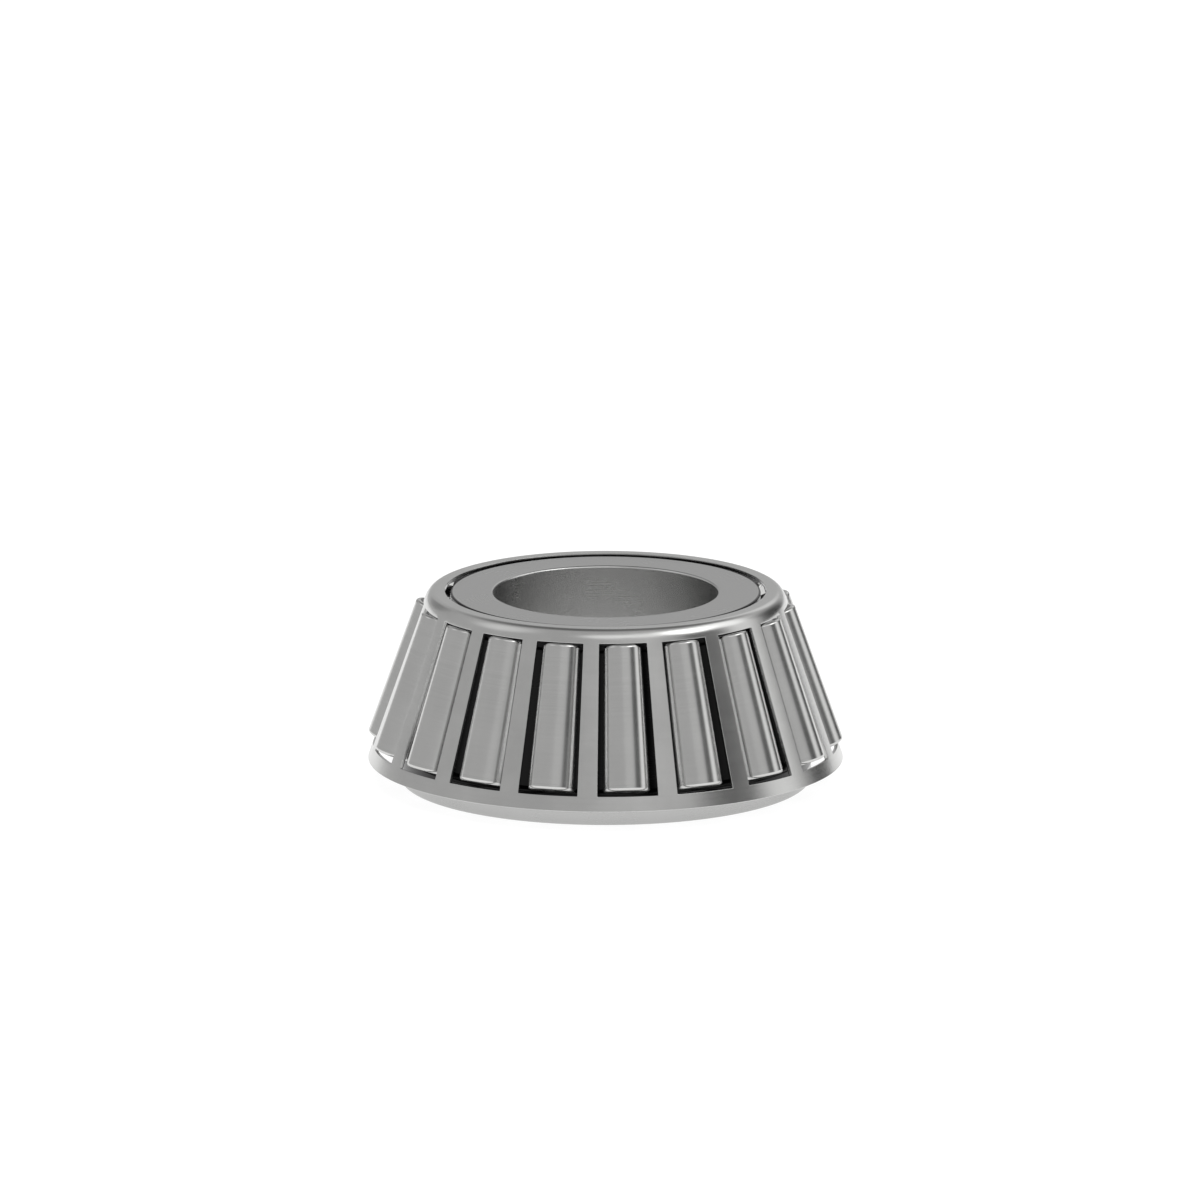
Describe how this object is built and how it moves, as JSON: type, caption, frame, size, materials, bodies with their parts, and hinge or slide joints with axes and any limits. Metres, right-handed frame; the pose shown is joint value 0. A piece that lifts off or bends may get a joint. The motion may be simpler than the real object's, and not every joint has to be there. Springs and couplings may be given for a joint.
{
  "type": "tapered roller bearing cone assembly",
  "caption": "Inner assembly of a tapered roller bearing: inner ring with ribs, pressed sheet cage and free-turning tapered rollers.",
  "frame": {"origin": "centre of the wide end's face of the inner ring, on the bearing axis", "axes": "+Z along the bearing axis from the wide end to the narrow end; +X and +Y across it, with the first roller near -Y"},
  "size_m": [0.0846, 0.0846, 0.0344],
  "materials": {
    "bearing_steel": "ground",
    "cage_sheet_steel": "satin pressed sheet",
    "roller_steel": "fine ground"
  },
  "bodies": {
    "inner_ring": {"inner_ring": "bearing_steel"},
    "cage": {"cage": "cage_sheet_steel"},
    "roller_01": {"roller_01": "roller_steel"},
    "roller_02": {"roller_02": "roller_steel"},
    "roller_03": {"roller_03": "roller_steel"},
    "roller_04": {"roller_04": "roller_steel"},
    "roller_05": {"roller_05": "roller_steel"},
    "roller_06": {"roller_06": "roller_steel"},
    "roller_07": {"roller_07": "roller_steel"},
    "roller_08": {"roller_08": "roller_steel"},
    "roller_09": {"roller_09": "roller_steel"},
    "roller_10": {"roller_10": "roller_steel"},
    "roller_11": {"roller_11": "roller_steel"},
    "roller_12": {"roller_12": "roller_steel"},
    "roller_13": {"roller_13": "roller_steel"},
    "roller_14": {"roller_14": "roller_steel"},
    "roller_15": {"roller_15": "roller_steel"},
    "roller_16": {"roller_16": "roller_steel"},
    "roller_17": {"roller_17": "roller_steel"},
    "roller_18": {"roller_18": "roller_steel"}
  },
  "joints": [
    {"name": "cage_spin", "type": "hinge", "parent": "inner_ring", "child": "cage", "pos_m": [0, 0, 0], "axis": [0, 0, 1], "continuous": true},
    {"name": "roller_01_spin", "type": "hinge", "parent": "cage", "child": "roller_01", "pos_m": [0.0033, -0.0343, 0.01887], "axis": [-0.0292, 0.303, 0.9526], "continuous": true},
    {"name": "roller_02_spin", "type": "hinge", "parent": "cage", "child": "roller_02", "pos_m": [0.01483, -0.0311, 0.01887], "axis": [-0.131, 0.2747, 0.9526], "continuous": true},
    {"name": "roller_03_spin", "type": "hinge", "parent": "cage", "child": "roller_03", "pos_m": [0.02457, -0.02415, 0.01887], "axis": [-0.2171, 0.2133, 0.9526], "continuous": true},
    {"name": "roller_04_spin", "type": "hinge", "parent": "cage", "child": "roller_04", "pos_m": [0.03135, -0.01429, 0.01887], "axis": [-0.277, 0.1262, 0.9526], "continuous": true},
    {"name": "roller_05_spin", "type": "hinge", "parent": "cage", "child": "roller_05", "pos_m": [0.03435, -0.0027, 0.01887], "axis": [-0.3034, 0.0239, 0.9526], "continuous": true},
    {"name": "roller_06_spin", "type": "hinge", "parent": "cage", "child": "roller_06", "pos_m": [0.0332, 0.00921, 0.01887], "axis": [-0.2933, -0.0813, 0.9526], "continuous": true},
    {"name": "roller_07_spin", "type": "hinge", "parent": "cage", "child": "roller_07", "pos_m": [0.02805, 0.02001, 0.01887], "axis": [-0.2478, -0.1767, 0.9526], "continuous": true},
    {"name": "roller_08_spin", "type": "hinge", "parent": "cage", "child": "roller_08", "pos_m": [0.01952, 0.02839, 0.01887], "axis": [-0.1724, -0.2508, 0.9526], "continuous": true},
    {"name": "roller_09_spin", "type": "hinge", "parent": "cage", "child": "roller_09", "pos_m": [0.00863, 0.03336, 0.01887], "axis": [-0.0762, -0.2947, 0.9526], "continuous": true},
    {"name": "roller_10_spin", "type": "hinge", "parent": "cage", "child": "roller_10", "pos_m": [-0.0033, 0.0343, 0.01887], "axis": [0.0292, -0.303, 0.9526], "continuous": true},
    {"name": "roller_11_spin", "type": "hinge", "parent": "cage", "child": "roller_11", "pos_m": [-0.01483, 0.0311, 0.01887], "axis": [0.131, -0.2747, 0.9526], "continuous": true},
    {"name": "roller_12_spin", "type": "hinge", "parent": "cage", "child": "roller_12", "pos_m": [-0.02457, 0.02415, 0.01887], "axis": [0.2171, -0.2133, 0.9526], "continuous": true},
    {"name": "roller_13_spin", "type": "hinge", "parent": "cage", "child": "roller_13", "pos_m": [-0.03135, 0.01429, 0.01887], "axis": [0.277, -0.1262, 0.9526], "continuous": true},
    {"name": "roller_14_spin", "type": "hinge", "parent": "cage", "child": "roller_14", "pos_m": [-0.03435, 0.0027, 0.01887], "axis": [0.3034, -0.0239, 0.9526], "continuous": true},
    {"name": "roller_15_spin", "type": "hinge", "parent": "cage", "child": "roller_15", "pos_m": [-0.0332, -0.00921, 0.01887], "axis": [0.2933, 0.0813, 0.9526], "continuous": true},
    {"name": "roller_16_spin", "type": "hinge", "parent": "cage", "child": "roller_16", "pos_m": [-0.02805, -0.02001, 0.01887], "axis": [0.2478, 0.1767, 0.9526], "continuous": true},
    {"name": "roller_17_spin", "type": "hinge", "parent": "cage", "child": "roller_17", "pos_m": [-0.01952, -0.02839, 0.01887], "axis": [0.1724, 0.2508, 0.9526], "continuous": true},
    {"name": "roller_18_spin", "type": "hinge", "parent": "cage", "child": "roller_18", "pos_m": [-0.00863, -0.03336, 0.01887], "axis": [0.0762, 0.2947, 0.9526], "continuous": true}
  ],
  "couplings": [
    {"joint": "roller_01_spin", "follows": "cage_spin", "ratio": 8.0797},
    {"joint": "roller_02_spin", "follows": "cage_spin", "ratio": 8.0797},
    {"joint": "roller_03_spin", "follows": "cage_spin", "ratio": 8.0797},
    {"joint": "roller_04_spin", "follows": "cage_spin", "ratio": 8.0797},
    {"joint": "roller_05_spin", "follows": "cage_spin", "ratio": 8.0797},
    {"joint": "roller_06_spin", "follows": "cage_spin", "ratio": 8.0797},
    {"joint": "roller_07_spin", "follows": "cage_spin", "ratio": 8.0797},
    {"joint": "roller_08_spin", "follows": "cage_spin", "ratio": 8.0797},
    {"joint": "roller_09_spin", "follows": "cage_spin", "ratio": 8.0797},
    {"joint": "roller_10_spin", "follows": "cage_spin", "ratio": 8.0797},
    {"joint": "roller_11_spin", "follows": "cage_spin", "ratio": 8.0797},
    {"joint": "roller_12_spin", "follows": "cage_spin", "ratio": 8.0797},
    {"joint": "roller_13_spin", "follows": "cage_spin", "ratio": 8.0797},
    {"joint": "roller_14_spin", "follows": "cage_spin", "ratio": 8.0797},
    {"joint": "roller_15_spin", "follows": "cage_spin", "ratio": 8.0797},
    {"joint": "roller_16_spin", "follows": "cage_spin", "ratio": 8.0797},
    {"joint": "roller_17_spin", "follows": "cage_spin", "ratio": 8.0797},
    {"joint": "roller_18_spin", "follows": "cage_spin", "ratio": 8.0797}
  ]
}
